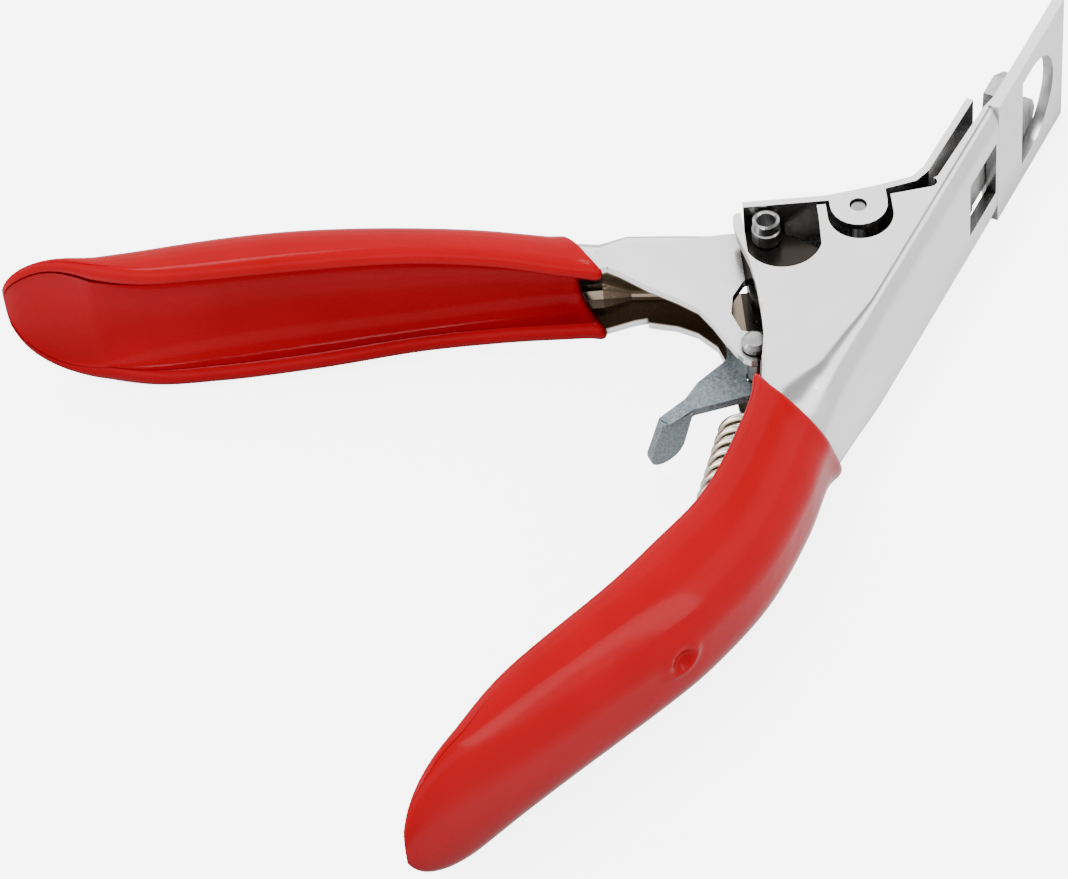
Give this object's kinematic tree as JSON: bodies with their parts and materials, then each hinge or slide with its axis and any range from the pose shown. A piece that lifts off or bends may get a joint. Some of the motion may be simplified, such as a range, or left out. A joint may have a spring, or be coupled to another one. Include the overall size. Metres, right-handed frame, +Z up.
{
  "type": "guillotine nail clipper",
  "caption": "Plier-style nail cutter: folded steel frame with a D-shaped nail hole, a sliding blade driven by a sprung lever, and dipped vinyl grips.",
  "frame": {"origin": "under the middle of the tool, on the surface that it lies on", "axes": "+Z up through the tool's width; the handles and nose lie in the XY plane, +X towards the nose side"},
  "size_m": [0.139, 0.115, 0.0222],
  "materials": {
    "nickel_steel": "bright nickel plate, soft",
    "rivet_steel": "dark steel, polished rim",
    "pin_steel": "plain steel",
    "blade_steel": "ground, stamped edge",
    "zinc": "zinc plated, speckled",
    "spring_wire": "warm nickel plated wire",
    "red_vinyl": "glossy dipped vinyl"
  },
  "bodies": {
    "frame": {"main_frame": "nickel_steel", "frame_grip": "red_vinyl", "cover_strip": "nickel_steel", "cross_pin": "pin_steel", "pivot_rivet": "rivet_steel", "return_spring": "spring_wire", "spring_seat": "zinc"},
    "lever": {"lever_channel": "nickel_steel", "lever_grip": "red_vinyl", "drive_pin": "pin_steel", "latch_rivet": "nickel_steel"},
    "blade": {"cutter_blade": "blade_steel", "blade_carrier": "blade_steel", "blade_rivet_1": "pin_steel", "blade_rivet_2": "pin_steel"},
    "latch": {"latch": "zinc"}
  },
  "joints": [
    {"name": "lever_pivot", "type": "hinge", "parent": "frame", "child": "lever", "pos_m": [0.02708, 0.02488, 0.0111], "axis": [0, 0, 1], "range_deg": [0, 20], "stiffness_Nm_per_rad": 1.2, "springref_deg": -20.05, "deforming": ["return_spring"]},
    {"name": "blade_slide", "type": "slide", "parent": "frame", "child": "blade", "axis": [0.5299, 0.848, 0], "range_m": [0, 0.0049]},
    {"name": "latch_pivot", "type": "hinge", "parent": "lever", "child": "latch", "pos_m": [0.02358, 0.00748, 0.0111], "axis": [0, 0, 1], "range_deg": [0, 15]}
  ],
  "couplings": [
    {"joint": "blade_slide", "follows": "lever_pivot", "m_per_rad": 0.01387}
  ]
}
